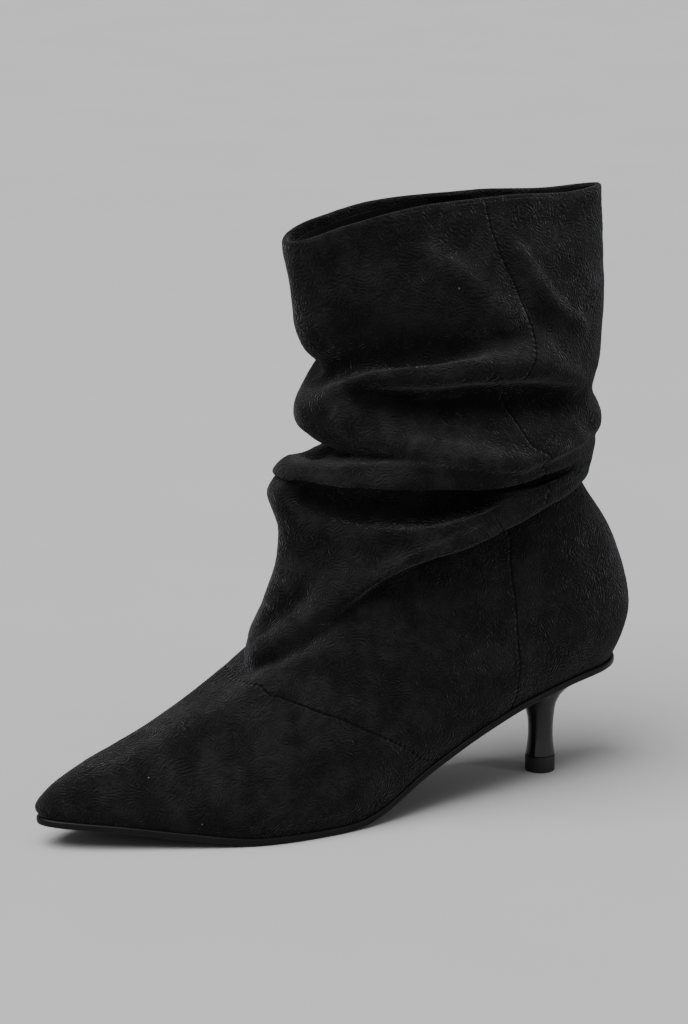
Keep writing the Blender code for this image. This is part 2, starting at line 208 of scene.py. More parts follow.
# The heel from the seat (0) to the tip (1)
HeelRow = namedtuple("HeelRow", "fall back front half round")
HEEL_ROWS = [
    HeelRow(*row)
    for row in (
        (0.05, 0.066, 0.208, 0.24, 0.35), (0.11, 0.086, 0.196, 0.186, 0.6),
        (0.18, 0.1, 0.187, 0.143, 0.85), (0.27, 0.114, 0.179, 0.109, 1.0),
        (0.38, 0.122, 0.172, 0.086, 1.0), (0.55, 0.125, 0.167, 0.071, 1.0),
        (0.78, 0.126, 0.166, 0.067, 1.0), (1.0, 0.123, 0.169, 0.077, 1.0),
    )
]
# Where the heel's front lies along the foot, and how soon its seat is as wide as the boot there
BREAST = 0.215
BREAST_FULL = 1.9

# A place on the upper: a turn round the boot in degrees, and a share of the way from a row to the next
At = namedtuple("At", "turn row past")


def path(*steps):
    """Places on the upper. Each row's name stands before its pairs of turn and share."""
    places = []
    for step in steps:
        if isinstance(step, str):
            row = step
        else:
            places.append(At(step[0], row, step[1]))
    return places


# A soft trough (height below zero) or ridge across the upper, in millimetres, through a few places
Crease = namedtuple("Crease", "name height width places")
CREASES = [
    Crease("fold under the shaft", -2.3, 6.5, path(
        "top_crease", (232, 0.2), (205, 0.1), (180, 0.05), (152, 0.25), (135, 0.2),
        "top_crest", (114, 0.95), "top_crease", (92, 0.1), (72, 0.1))),
    Crease("sharp line in that fold", -0.9, 2.0, path(
        "top_crest", (200, 0.95), (180, 0.95), "top_crease", (164, 0.07), (152, 0.18), (135, 0.1),
        "top_crest", (114, 0.8), (103, 0.95), "top_crease", (90, 0.0))),
    Crease("top ridge", 1.4, 4.2, path(
        "top_lip", (168, 0.9), (152, 0.95), "top_crest", (141, 0.35), (123, 0.1),
        "top_lip", (105, 0.95), (87, 0.85), (68, 0.8), (50, 0.7), (35, 0.5))),
    Crease("lip of the top ridge", 1.0, 2.0, path(
        "top_lip", (130, 0.05), (121, 0.07), (113, 0.25), (101, 0.25), (85, 0.23), (69, 0.3), (59, 0.5),
        (42, 0.2), "valley", (25, 0.6))),
    Crease("valley under the top ridge", -4.6, 6.5, path(
        "valley", (150, 0.95), (143, 0.9), (134, 0.6), (121, 0.4), (109, 0.3), (90, 0.35), (70, 0.35),
        (50, 0.3), (32, 0.1))),
    Crease("middle ridge", 2.6, 5.0, path(
        "valley", (152, 0.6), (148, 0.2), "mid_crest", (143, 0.4), (136, 0.1), "pinch", (115, 0.8),
        (100, 0.4), "mid_face", (79, 0.5), "mid_lip", (64, 0.5))),
    Crease("face of the middle fold", 0.8, 7.0, path(
        "mid_face", (140, 0.8), (116, 0.8), (95, 0.6), "mid_lip", (75, 0.8))),
    Crease("black trough", -4.0, 6.2, path(
        "trough_foot", (172, 0.2), "low_crest", (160, 0.85), (148, 0.6), (136, 0.55), (120, 0.5),
        (104, 0.5), (88, 0.45), (74, 0.4))),
    Crease("lip over the trough", 0.7, 2.6, path(
        "mid_lip", (178, 0.4), (165, 0.3), (150, 0.2), (135, 0.15), (118, 0.15), (100, 0.15),
        (85, 0.15), (72, 0.1))),
    Crease("face beside the notch", 0.5, 7.0, path(
        "mid_face", (170, 0.9), (158, 0.95), (146, 0.95), (132, 0.95), (116, 0.95), (96, 0.9))),
    Crease("lower ridge", 0.5, 6.0, path(
        "low_crest", (172, 0.4), (160, 0.2), "apron", (136, 0.9), (120, 0.8), (105, 0.7), (88, 0.4),
        "skirt", (76, 0.9))),
    Crease("rolled edge", 1.1, 2.4, path(
        "edge", (20, 0.55), (30, 0.55), (47, 0.6), (60, 0.6), (72, 0.6), (82, 0.5), (94, 0.55),
        (107, 0.6), (116, 0.6), (122, 0.5), (130, 0.4))),
    Crease("tuck under the rolled edge", -1.2, 3.0, path(
        "tuck", (40, 0.4), (60, 0.4), (80, 0.4), (98, 0.4), (110, 0.4), (122, 0.4))),
    Crease("ridge over the instep", 1.9, 4.0, path(
        "skirt", (132, 0.0), "edge", (142, 0.75), (148, 0.55), (158, 0.4), (166, 0.15),
        "tuck", (178, 0.9))),
    Crease("hollow over that ridge", -2.8, 5.0, path(
        "skirt", (146, 0.3), (152, 0.15), (158, 0.0), "edge", (164, 0.85), (170, 0.6), (180, 0.4))),
    Crease("hollow under the front of the fold", -0.7, 5.5, path(
        "instep", (114, 0.6), (126, 0.5), (138, 0.4), (152, 0.3))),
    Crease("pull line", 2.3, 5.0, path(
        "shaft_high", (109, 0.5), (107, 0.27), (102, 0.0), "shaft_low", (93, 0.55), (86, 0.05),
        "top_crease", (84, 0.4), (86, 0.1))),
    Crease("pull line behind the seam", 1.7, 3.6, path(
        "shaft_high", (77, 0.2), (74, 0.0), "shaft_low", (67, 0.4), "top_crease", (58, 0.8), (48, 0.4),
        (39, 0.12))),
    Crease("hollow at the seam", -1.6, 4.0, path(
        "shaft_high", (82, 0.1), "shaft_low", (79, 0.65), (74, 0.1), "top_crease", (70, 0.6),
        (64, 0.25), (52, 0.0))),
    Crease("soft hollow in front", -1.8, 10.0, path(
        "shaft_low", (160, 0.2), (140, 0.0), "top_crease", (120, 0.8), (100, 0.7))),
    Crease("front of the shaft", 1.2, 9.0, path(
        "shaft_low", (225, 0.4), (200, 0.5), (178, 0.5), (155, 0.6))),
    Crease("front of the middle fold", 1.0, 5.0, path(
        "valley", (215, 0.2), (195, 0.1), (178, 0.1), (162, 0.3))),
    Crease("front of the lower fold", 1.5, 6.0, path(
        "low_crest", (215, 0.6), (195, 0.8), (178, 0.8), (160, 0.5))),
    Crease("notch between the front folds", -3.2, 6.0, path(
        "mid_face", (180, 0.85), (190, 0.65), (199, 0.45), (208, 0.3), (218, 0.15), (232, 0.05),
        (250, 0.0))),
    Crease("bulge at the back", 1.3, 4.5, path(
        "pinch", (42, 0.6), (20, 0.6), (-8, 0.6), (-32, 0.6))),
    Crease("front of the collar", 1.8, 9.0, path(
        "shaft_high", (136, 0.95), (155, 0.9), (180, 0.85), (205, 0.9), (228, 0.95))),
    Crease("inner fold under the shaft", -1.6, 6.0, path(
        "top_crease", (228, 0.1), (250, 0.1), (272, 0.2), (294, 0.3), (315, 0.2))),
    Crease("inner top ridge", 0.9, 4.5, path(
        "top_lip", (195, 0.8), (220, 0.9), "top_crest", (245, 0.1), (270, 0.2), "top_lip", (300, 0.9),
        (325, 0.6))),
    Crease("inner valley", -2.4, 5.5, path(
        "valley", (212, 0.6), (235, 0.5), (262, 0.4), (290, 0.35), (318, 0.2), (335, 0.0))),
    Crease("inner middle ridge", 1.3, 5.5, path(
        "mid_crest", (215, 0.2), "pinch", (235, 0.8), (260, 0.4), "mid_face", (285, 0.6),
        "mid_lip", (305, 0.6))),
    Crease("inner trough", -2.4, 4.2, path(
        "low_crest", (190, 0.9), (210, 0.6), (240, 0.5), (268, 0.5), (290, 0.4))),
    Crease("inner lower ridge", 0.9, 6.0, path(
        "low_crest", (195, 0.3), "apron", (225, 0.9), (255, 0.7), (280, 0.4))),
    Crease("inner rolled edge", 0.6, 2.2, path(
        "edge", (236, 0.5), (252, 0.6), (275, 0.5), (298, 0.6), (320, 0.6), (340, 0.55))),
    Crease("inner pull line", 1.1, 5.5, path(
        "shaft_high", (262, 0.4), (266, 0.0), "shaft_low", (274, 0.5), (284, 0.0),
        "top_crease", (292, 0.4))),
    Crease("inner pull line in front", 0.9, 5.0, path(
        "shaft_high", (222, 0.1), "shaft_low", (230, 0.6), (240, 0.2), "top_crease", (248, 0.6))),
    Crease("inner hollow", -1.0, 6.0, path(
        "shaft_high", (240, 0.0), "shaft_low", (250, 0.5), (262, 0.1), "top_crease", (272, 0.6))),
    Crease("inner ridge over the instep", 0.9, 4.5, path(
        "edge", (224, 0.9), (214, 0.6), (204, 0.4), (194, 0.15))),
]

# A closed seam, through a few places
Seam = namedtuple("Seam", "name places")
SEAMS = [
    Seam("side seam of the shaft", path(
        "shaft_high", (83.5, 1.0), (83, 0.5), (81, 0.05), "shaft_low", (77, 0.45),
        "top_crease", (74.5, 0.8), "top_crest", (73, 0.7), "top_lip", (73.4, 0.9), (75, 0.5))),
    Seam("side seam of the middle fold", path(
        "top_lip", (87, 0.1), "valley", (80.5, 0.2), "mid_crest", (77, 0.55), "pinch", (75, 0.8),
        "mid_face", (69, 0.3), "mid_lip", (65, 0.6), (64, 0.2))),
    Seam("side seam of the lower fold", path(
        "low_crest", (62, 0.3), "apron", (61.3, 0.5), "skirt", (60.8, 0.8), (60.5, 0.0))),
    Seam("side seam of the foot", path(
        "edge", (77, 0.3), "tuck", (71, 0.2), "instep", (67.5, 0.2), "mid", (65.8, 0.55),
        "low", (63.2, 0.75), "counter", (61.5, 0.7), "bulge", (59, 0.1), "feather", (58.2, 0.6),
        (58, 0.0))),
    Seam("inner side seam of the shaft", path(
        "shaft_high", (276.5, 1.0), (277, 0.5), (279, 0.05), "shaft_low", (283, 0.45),
        "top_crease", (286, 0.8), "top_crest", (288, 0.7), "top_lip", (287, 0.9), (284, 0.5))),
    Seam("inner side seam of the middle fold", path(
        "top_lip", (275, 0.1), "valley", (280, 0.2), "mid_crest", (284, 0.55), "pinch", (287, 0.8),
        "mid_face", (291, 0.3), "mid_lip", (295, 0.6), (296, 0.2))),
    Seam("inner side seam of the lower fold", path(
        "low_crest", (297, 0.3), "apron", (297.5, 0.5), "skirt", (298, 0.8), (298, 0.0))),
    Seam("inner side seam of the foot", path(
        "edge", (284, 0.3), "tuck", (290, 0.2), "instep", (293, 0.2), "mid", (294.5, 0.55),
        "low", (297, 0.75), "counter", (298.5, 0.7), "bulge", (301, 0.1), "feather", (302, 0.6),
        (302, 0.0))),
    Seam("vamp seam", path(
        "feather", (75, 0.0), "bulge", (85.5, 0.9), "counter", (96.2, 0.9), "low", (108.2, 0.45),
        "mid", (132, 0.36), (150, 0.75), (165, 0.98), "instep", (180, 0.15), "mid", (195, 0.98),
        (210, 0.75), (228, 0.36), "low", (251.8, 0.45), "counter", (263.8, 0.9), "bulge", (274.5, 0.9),
        "feather", (285, 0.0))),
]


def size(name, description, value, **more):
    """A length that the user can set, in metres."""
    return FloatProperty(name=name, description=description, default=value, unit="LENGTH", **more)


def colour(name, description, value):
    """A colour that the user can set."""
    return FloatVectorProperty(
        name=name, description=description, default=value, subtype="COLOR", size=3, min=0, max=1
    )


class BootSizes(bpy.types.PropertyGroup):
    """The driving sizes of the boot"""

    foot_length: size("Foot length", "From the back of the heel to the toe", 0.253)
    ball_width: size("Ball width", "Width of the sole across the ball", 0.075)
    heel_height: size("Heel height", "Height of the sole at the back of the heel", 0.0445)
    shaft_height: size("Shaft height", "From the heel's height to the back of the collar", 0.1935)
    toe_spring: size("Toe spring", "Height of the sole under the toe", 0.0095)
    wall: size("Wall", "Suede and lining together", 0.0018)
    hem_wall: size("Hem wall", "Thickness where the collar is turned over", 0.0026)
    hem_depth: size("Hem depth", "How far down the collar is turned over", 0.0130)
    facing: size("Facing", "Width of the suede that shows inside the collar", 0.0042)
    lining: size("Lining", "Thickness of the lining", 0.0005)
    sole_thickness: size("Sole thickness", "Thickness of the outsole", 0.0030)
    sole_rim: size("Sole rim", "How far the outsole stands out from the upper's lower edge", 0.0012)
    insole_thickness: size("Insole thickness", "Thickness of the insole", 0.0020)
    heel_inset: size("Heel inset", "How far the heel's seat lies inside the upper's edge", 0.0008)
    tip_height: size("Tip height", "Height of the heel tip", 0.0066)
    tip_radius: size("Tip radius", "Radius of the heel tip", 0.0060)
    gap: size("Gap", "Clearance between pieces", 0.0003)


class BootFinish(bpy.types.PropertyGroup):
    """The colours of the boot"""

    suede: colour("Suede", "Nap that lies away from the light", (0.0021, 0.0021, 0.0023))
    suede_raised: colour("Raised suede", "Nap that stands up", (0.0076, 0.0074, 0.0077))
    lint: colour("Lint", "A few specks caught in the nap", (0.10, 0.10, 0.10))
    lining: colour("Lining", "Lining and sock", (0.0045, 0.0045, 0.0045))
    sole: colour("Sole", "Outsole", (0.004, 0.004, 0.004))
    gloss: colour("Heel", "Lacquered heel", (0.0022, 0.0022, 0.0022))
    rubber: colour("Tip", "Heel tip", (0.0045, 0.0045, 0.0045))


class BootStudio(bpy.types.PropertyGroup):
    """The floor and the light"""

    floor: colour("Floor", "Seamless paper", (0.36, 0.36, 0.36))
    key: FloatProperty(name="Key", description="Strength of the light from the toe's side", default=5.1)
    top: FloatProperty(name="Top", description="Strength of the wide light from above", default=1.1)
    strips: FloatProperty(
        name="Strips", description="Power of the strip lights", default=1.5, unit="POWER"
    )
    sky: FloatProperty(name="Sky", description="Strength of the surrounding light", default=0.29)


def cubic(xs, ys, slope, x):
    """The curve through the points with these slopes."""
    i = np.clip(np.searchsorted(xs, x, side="right") - 1, 0, len(xs) - 2)
    step = xs[i + 1] - xs[i]
    t = (x - xs[i]) / step
    start = ys[i] * (2 * t**3 - 3 * t**2 + 1) + slope[i] * step * (t**3 - 2 * t**2 + t)
    end = ys[i + 1] * (3 * t**2 - 2 * t**3) + slope[i + 1] * step * (t**3 - t**2)
    return start + end


def smooth_curve(xs, ys, x):
    """A cubic through the points that never overshoots them."""
    xs = np.asarray(xs, float)
    ys = np.asarray(ys, float)
    rise = np.diff(ys) / np.diff(xs)
    slope = np.empty_like(ys)
    both = rise[:-1] * rise[1:]
    total = rise[:-1] + rise[1:]
    slope[1:-1] = np.where(both > 0, 2 * both / np.where(both > 0, total, 1), 0)
    slope[0] = 1.5 * rise[0] - 0.5 * slope[1]
    slope[-1] = 1.5 * rise[-1] - 0.5 * slope[-2]
    return cubic(xs, ys, slope, x)


def through(xs, ys, x):
    """A smooth curve through a few values, which may turn between them."""
    if len(xs) < 3:
        return np.interp(x, xs, ys)
    ys = np.asarray(ys, float)
    return cubic(xs, ys, np.gradient(ys, xs), x)


def ease(low, high, value):
    """0 below low, 1 above high, and a smooth step between."""
    t = np.clip((np.asarray(value, float) - low) / (high - low), 0, 1)
    return t * t * (3 - 2 * t)


class Last:
    """The shape that the upper is drawn over, in the boot's own sizes."""

    def __init__(self, sizes):
        self.s = sizes

    def sole_height(self, x):
        along = np.clip(np.asarray(x, float) / self.s.foot_length, 0, 1)
        places = [point.along for point in SOLE_LINE]
        arch = smooth_curve(places, [point.arch for point in SOLE_LINE], along)
        spring = smooth_curve(places, [point.spring for point in SOLE_LINE], along)
        return self.s.heel_height * arch + self.s.toe_spring * spring

    def feather_height(self, x):
        return self.sole_height(x) + self.s.sole_thickness

    def row_half(self, row, share, inner):
        half = self.s.ball_width * smooth_curve(STATIONS, row.halves, share)
        for swell in INNER_SWELLS:
            bump = np.exp(-(((share - swell.centre) / swell.reach) ** 2))
            half = half * (1 + inner * row.follow * swell.amount * bump)
        return half * np.sqrt(np.maximum(4 * share * (1 - share), 0))

    def ring(self, row, turns):
        """A row's points at the given turns, in radians."""
        share = (1 - np.cos(turns)) / 2
        inner = np.where(np.sin(turns) < -1e-9, 1.0, 0.0)
        x = self.s.foot_length * (row.back + (row.front - row.back) * share)
        y = self.row_half(row, share, inner) * np.where(inner > 0, -1.0, 1.0)
        rise = smooth_curve(STATIONS, (0.0, *row.rises, 0.0), share)
        lift = inner * row.inner_lift * np.sin(turns) ** 2
        up = row.back_up * (1 - share) + row.front_up * share + rise + lift
        base = row.follow * self.feather_height(x) + (1 - row.follow) * self.s.heel_height
        return np.stack([x, y, base + self.s.shaft_height * up], axis=-1)

    def guides(self, turns):
        """The rows' rings at the given turns, with one more beyond each end."""
        rings = [self.ring(row, turns) for row in ROWS]
        return np.array([2 * rings[0] - rings[1], *rings, 2 * rings[-1] - rings[-2]])

    def skin(self, levels, turns):
        """Rings at the given levels: a level counts the rows, and its fraction lies between two."""
        guides = self.guides(turns)
        points = []
        for level in levels:
            i = min(int(level), len(ROWS) - 2)
            points.append(between(*guides[i : i + 4], level - i))
        return np.array(points)

    def places(self, levels, turns):
        """A point at each pair of level and turn."""
        guides = self.guides(turns)
        i = np.clip(levels.astype(int), 0, len(ROWS) - 2)
        n = np.arange(len(turns))
        return between(*(guides[i + k, n] for k in range(4)), levels - i)

    def levels_apart(self, turns, step):
        """Levels whose rings lie about a step apart, with at least four to a row."""
        rings = [self.ring(row, turns) for row in ROWS]
        levels = []
        for i, (low, high) in enumerate(zip(rings, rings[1:])):
            many = max(4, round(np.linalg.norm(high - low, axis=-1).mean() / step))
            levels += [i + k / many for k in range(many)]
        return [*levels, len(ROWS) - 1.0]


def between(before, start, end, after, share):
    """A point on the centripetal curve through four rings, at a share of the way from start to end."""
    knots = [np.zeros(len(start))]
    for a, b in ((before, start), (start, end), (end, after)):
        knots.append(knots[-1] + np.sqrt(np.maximum(np.linalg.norm(b - a, axis=-1), 1e-7)))
    at = knots[1] + (knots[2] - knots[1]) * share

    def mix(a, b, first, last):
        weight = ((at - first) / (last - first))[:, None]
        return a * (1 - weight) + b * weight

    a = mix(before, start, knots[0], knots[1])
    b = mix(start, end, knots[1], knots[2])
    c = mix(end, after, knots[2], knots[3])
    return mix(mix(a, b, knots[0], knots[2]), mix(b, c, knots[1], knots[3]), knots[1], knots[2])


def turns_of(count):
    return np.linspace(0, 2 * np.pi, count, endpoint=False)


def outward(points, crest=1.0, crease=1.0):
    """Normals of a stack of rings, level on the end rings. They are longer where a fold turns a
    corner, up to the inverse of crest or crease, which are cosines of half the turn."""
    around = np.roll(points, -1, axis=1) - np.roll(points, 1, axis=1)
    step = np.diff(points, axis=0)
    step = step / np.maximum(np.linalg.norm(step, axis=-1, keepdims=True), 1e-9)
    up = np.concatenate([step[:1], (step[:-1] + step[1:]) / 2, step[-1:]])
    turn = np.concatenate([0 * step[:1], step[1:] - step[:-1], 0 * step[-1:]])
    normal = np.cross(up, around)
    normal[0, :, 2] = 0
    normal[-1, :, 2] = 0
    normal = normal / np.maximum(np.linalg.norm(normal, axis=-1, keepdims=True), 1e-12)
    convex = (turn * normal).sum(axis=-1, keepdims=True) < 0
    corner = np.linalg.norm(up, axis=-1, keepdims=True)
    return normal / np.clip(corner, np.where(convex, crest, crease), 1)


class Line:
    """A smooth line on the upper through a few places, sampled finely."""

    SAMPLES = 24

    def __init__(self, last, places):
        turns = [place.turn for place in places]
        levels = [ROW_NAMES.index(place.row) + place.past for place in places]
        steps = np.arange(len(places))
        fine = np.linspace(0, len(places) - 1, (len(places) - 1) * self.SAMPLES + 1)
        self.turns = np.radians(through(steps, turns, fine))
        self.levels = through(steps, levels, fine)
        self.points = last.places(self.levels, self.turns)
        self.run = np.append(0.0, np.cumsum(np.linalg.norm(np.diff(self.points, axis=0), axis=1)))
        self.tree = kdtree.KDTree(len(self.points))
        for i, point in enumerate(self.points):
            self.tree.insert(point, i)
        self.tree.balance()

    def nearest(self, points, levels, reach, spread):
        """For each point within reach, and within a spread of levels: its index, the sample nearest to
        it and the distance."""
        low = self.points.min(axis=0) - reach
        high = self.points.max(axis=0) + reach
        close = ((points > low) & (points < high)).all(axis=1)
        close &= (levels > self.levels.min() - spread) & (levels < self.levels.max() + spread)
        found = []
        for index in np.flatnonzero(close):
            _, sample, away = self.tree.find(points[index])
            if away < reach and abs(levels[index] - self.levels[sample]) < spread:
                found.append((index, sample, away))
        if not found:
            return np.zeros(0, int), np.zeros(0, int), np.zeros(0)
        index, sample, away = zip(*found)
        return np.array(index), np.array(sample), np.array(away)


def crease_heights(last, points, levels):
    """How far each point of a stack of rings is moved outwards by the creases near it."""
    flat = points.reshape(-1, 3)
    level_of = np.repeat(levels, points.shape[1])
    total = np.zeros(len(flat))
    for crease in CREASES:
        line = Line(last, crease.places)
        width = crease.width * MM
        index, sample, away = line.nearest(flat, level_of, 3 * width, CREASE_SPREAD)
        along = sample / (len(line.points) - 1)
        fade = ease(0, CREASE_FADE, along) * ease(0, CREASE_FADE, 1 - along)
        apart = np.abs(level_of[index] - line.levels[sample])
        fade = fade * (1 - ease(CREASE_SPREAD / 2, CREASE_SPREAD, apart))
        total[index] += crease.height * MM * fade * np.exp(-((away / width) ** 2))
    return total.reshape(points.shape[:2])


def seam_places(last, points, levels, normals):
    """Signed distance to the nearest seam, how near it is (1 on it, 0 away from it), and the run
    along it."""
    flat = points.reshape(-1, 3)
    normals = normals.reshape(-1, 3)
    level_of = np.repeat(levels, points.shape[1])
    across = np.full(len(flat), SEAM_REACH)
    near = np.zeros(len(flat))
    run = np.zeros(len(flat))
    for seam in SEAMS:
        line = Line(last, seam.places)
        index, sample, _ = line.nearest(flat, level_of, SEAM_REACH, SEAM_SPREAD)
        tangent = np.gradient(line.points, axis=0)[sample]
        tangent = tangent / np.linalg.norm(tangent, axis=1, keepdims=True)
        offset = flat[index] - line.points[sample]
        slide = (offset * tangent).sum(axis=1)
        sideways = offset - slide[:, None] * tangent
        away = np.linalg.norm(sideways, axis=1)
        side = (sideways * np.cross(normals[index], tangent)).sum(axis=1)
        closer = away < np.abs(across[index])
        chosen = index[closer]
        across[chosen] = np.where(side < 0, -away, away)[closer]
        near[chosen] = 1 - ease(SEAM_REACH / 2, SEAM_REACH, away[closer])
        run[chosen] = (line.run[sample] + slide)[closer]
    shape = points.shape[:2]
    return across.reshape(shape), near.reshape(shape), run.reshape(shape)


def show_only(piece):
    """Makes a piece the only selected object."""
    bpy.ops.object.select_all(action="DESELECT")
    bpy.context.view_layer.objects.active = piece
    piece.select_set(True)


def grid_piece(name, rings, place, loop=False, **values):
    """A piece over rings of equal count. A loop joins the last ring to the first, and otherwise the
    end rings shrink to a line. values are numbers for each point, kept as attributes."""
    if loop:
        rings = np.concatenate([rings, rings[:1]])
    points = np.concatenate([rings, rings[:, :1]], axis=1) + place
    rows, columns = points.shape[:2]
    bpy.ops.object.select_all(action="DESELECT")
    bpy.ops.mesh.primitive_grid_add(
        x_subdivisions=columns - 1, y_subdivisions=rows - 1, size=1.0, calc_uvs=True
    )
    piece = bpy.context.active_object
    piece.name = name
    piece.data.name = name
    piece.data.vertices.foreach_set("co", points.ravel())
    for key, numbers in values.items():
        if loop:
            numbers = np.concatenate([numbers, numbers[:1]])
        numbers = np.concatenate([numbers, numbers[:, :1]], axis=1)
        attribute = piece.data.attributes.new(key, "FLOAT", "POINT")
        attribute.data.foreach_set("value", numbers.ravel())
    piece.data.update()
    return merged(piece)


def merged(piece, within=1e-6):
    """Joins the points that lie on each other and turns the faces outwards."""
    show_only(piece)
    bpy.ops.object.mode_set(mode="EDIT")
    bpy.ops.mesh.select_all(action="SELECT")
    bpy.ops.mesh.remove_doubles(threshold=within)
    bpy.ops.mesh.dissolve_degenerate(threshold=within)
    bpy.ops.mesh.normals_make_consistent(inside=False)
    bpy.ops.mesh.select_all(action="DESELECT")
    bpy.ops.object.mode_set(mode="OBJECT")
    return piece


def built(scene, model, finish, node, sharp=40):
    """Models a piece, shades it, gives it its finish and puts it in the place of the model's node."""
    piece = model(scene.boot_sizes)
    material = finish(scene.boot_finish)
    show_only(piece)
    bpy.ops.object.shade_smooth_by_angle(angle=math.radians(sharp))
    piece.data.materials.clear()
    piece.data.materials.append(material)
    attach(piece, "root")
    if node:
        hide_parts(node)
    return {"FINISHED"}


def place_of(sizes):
    """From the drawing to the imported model: the back of the counter lies on the upper's box."""
    counter = ROWS[ROW_NAMES.index("counter")]
    return np.array([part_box("upper")[0].x - counter.back * sizes.foot_length, 0.0, 0.0])


def inner_levels():
    """Levels of the rings inside the upper, two to a row."""
    last = len(ROWS) - 1
    return np.linspace(0, last, 2 * last + 1)


def below_collar(points):
    """How far each ring lies below the collar, along the wall."""
    climb = np.linalg.norm(np.diff(points, axis=0), axis=-1).mean(axis=1)
    return np.append(np.cumsum(climb[::-1])[::-1], 0.0)


def walls_inside(last, turns, levels, *layers):
    """For each layer, rings inside the upper at its depths below the outside."""
    points = last.skin(levels, turns)
    heights = crease_heights(last, points, levels)
    points = points + heights[..., None] * outward(points)
    across = outward(points, SHARPEST_CREST, SHARPEST_CREASE)
    walls = []
    for depths in layers:
        inside = points - depths[:, None, None] * across
        inside[0, :, 2] = last.feather_height(inside[0, :, 0])
        inside[-1, :, 2] = points[-1, :, 2]
        walls.append(inside)
    return walls


def level_below_collar(last, turns, depth):
    """The level that lies a depth below the collar."""
    top = len(ROWS) - 1
    levels = np.linspace(top - 1, top, 41)
    return float(np.interp(-depth, -below_collar(last.skin(levels, turns)), levels))


def suede_depths(sizes, last, turns, levels):
    """Depth of the suede's own inner face: the whole wall at the turned collar, and elsewhere the
    wall without its lining."""
    depth = below_collar(last.skin(levels, turns))
    return np.where(depth < sizes.hem_depth, sizes.hem_wall, sizes.wall - sizes.lining)


def lip(top, normals, radius):
    """The rounded edge over the wall, from its outside to its inside."""
    centre = top - radius * normals
    centre[..., 2] -= radius
    rings = []
    for angle in np.linspace(0, np.pi, LIP_RINGS):
        ring = centre + radius * np.cos(angle) * normals
        ring[..., 2] += radius * np.sin(angle)
        rings.append(ring)
    return np.array(rings)


def roughened(points, normals, levels):
    """The small unevenness of the suede: soft dents, most on the loose shaft, and the nap's fuzz."""
    flat = points.reshape(-1, 3)
    loose = np.repeat(ease(*LOOSE_FROM, levels), points.shape[1])
    heights = np.empty(len(flat))
    for i, point in enumerate(flat):
        where = Vector(point)
        soft = noise.fractal(where * DENTS_TO_A_METRE, 1.0, 2.0, 2)
        fine = sum(share * noise.noise(where * many) for many, share in FUZZ_LAYERS)
        heights[i] = (FIRM_DENTS + LOOSE_DENTS * loose[i]) * soft + FUZZ * fine
    return points + heights.reshape(points.shape[:2])[..., None] * normals


def model_upper(sizes):
    """The suede: outside, rounded collar edge, and the suede's inner face."""
    last = Last(sizes)
    turns = turns_of(AROUND)
    levels = np.array(last.levels_apart(turns, RING_STEP))
    outside = last.skin(levels, turns)
    normals = outward(outside)
    heights = crease_heights(last, outside, levels)
    across, near, run = seam_places(last, outside, levels, normals)
    pulled = SEAM_DEPTH * near * np.exp(-((across / SEAM_WIDTH) ** 2))
    outside = outside + (heights - pulled)[..., None] * normals
    outside = roughened(outside, normals, levels)
    inner = inner_levels()
    inside, = walls_inside(last, turns, inner, suede_depths(sizes, last, turns, inner))
    edge = lip(outside[-1], outward(outside)[-1], sizes.hem_wall / 2)
    rings = [*outside[:-1], *edge, *inside[:-1][::-1]]
    rest = len(rings) - len(outside)

    def over_all(numbers, away):
        tail = np.full((rest, len(turns)), away)
        return np.concatenate([numbers, tail])

    return grid_piece(
        "upper",
        np.array(rings),
        place_of(sizes),
        loop=True,
        seam=over_all(across / MM, SEAM_REACH / MM),
        seam_near=over_all(near, 0.0),
        seam_run=over_all(run / MM, 0.0),
        fold=over_all(heights / MM, 0.0),
    )


def model_lining(sizes):
    """The lining: a thin layer inside the suede, from the insole to the facing."""
    last = Last(sizes)
    turns = turns_of(LINING_AROUND)
    edge = level_below_collar(last, turns, sizes.facing)
    levels = np.array([*[level for level in inner_levels() if level < edge], edge])
    depths = suede_depths(sizes, last, turns, levels)
    back, face = walls_inside(last, turns, levels, depths + LINING_GAP, depths + sizes.lining)
    return grid_piece("lining", np.concatenate([back, face[::-1]]), place_of(sizes), loop=True)


def level_outward(outline):
    """Unit normals of an outline, in plan."""
    along = np.roll(outline, -1, axis=0) - np.roll(outline, 1, axis=0)
    normal = np.stack([-along[:, 1], along[:, 0]], axis=-1)
    return normal / np.linalg.norm(normal, axis=-1, keepdims=True)


def grown(outline, distance):
    """An outline in plan moved outwards by a distance."""
    return outline[:, :2] + distance * level_outward(outline[:, :2])


def shrunk(outline, share):
    """An outline in plan drawn in towards its middle line."""
    partner = np.roll(outline[::-1], 1, axis=0)
    middle = (outline + partner) / 2
    return middle + share * (outline - middle)


def raised(outline, heights):
    return np.column_stack([outline[:, :2], heights])


def covered(outline, height, shares):
    """Rings over an outline in plan, whose height is a function of x."""
    rings = [shrunk(outline, share) for share in shares]
    return [raised(ring, height(ring[:, 0])) for ring in rings]


def model_insole(sizes):
    last = Last(sizes)
    turns = turns_of(LINING_AROUND)
    inside, = walls_inside(last, turns, inner_levels()[:3], np.full(3, sizes.wall))
    outline = grown(inside[0], -sizes.gap)
    soft = grown(inside[0], -sizes.gap - INSOLE_ROUND)

    def high(x):
        return last.feather_height(x) + sizes.insole_thickness

    rings = [
        *covered(outline, last.feather_height, INWARDS[::-1]),
        raised(outline, last.feather_height(outline[:, 0])),
        raised(outline, high(outline[:, 0]) - INSOLE_ROUND),
        raised(soft, high(soft[:, 0])),
        *covered(soft, high, INWARDS),
    ]
    return grid_piece("insole", np.array(rings), place_of(sizes))


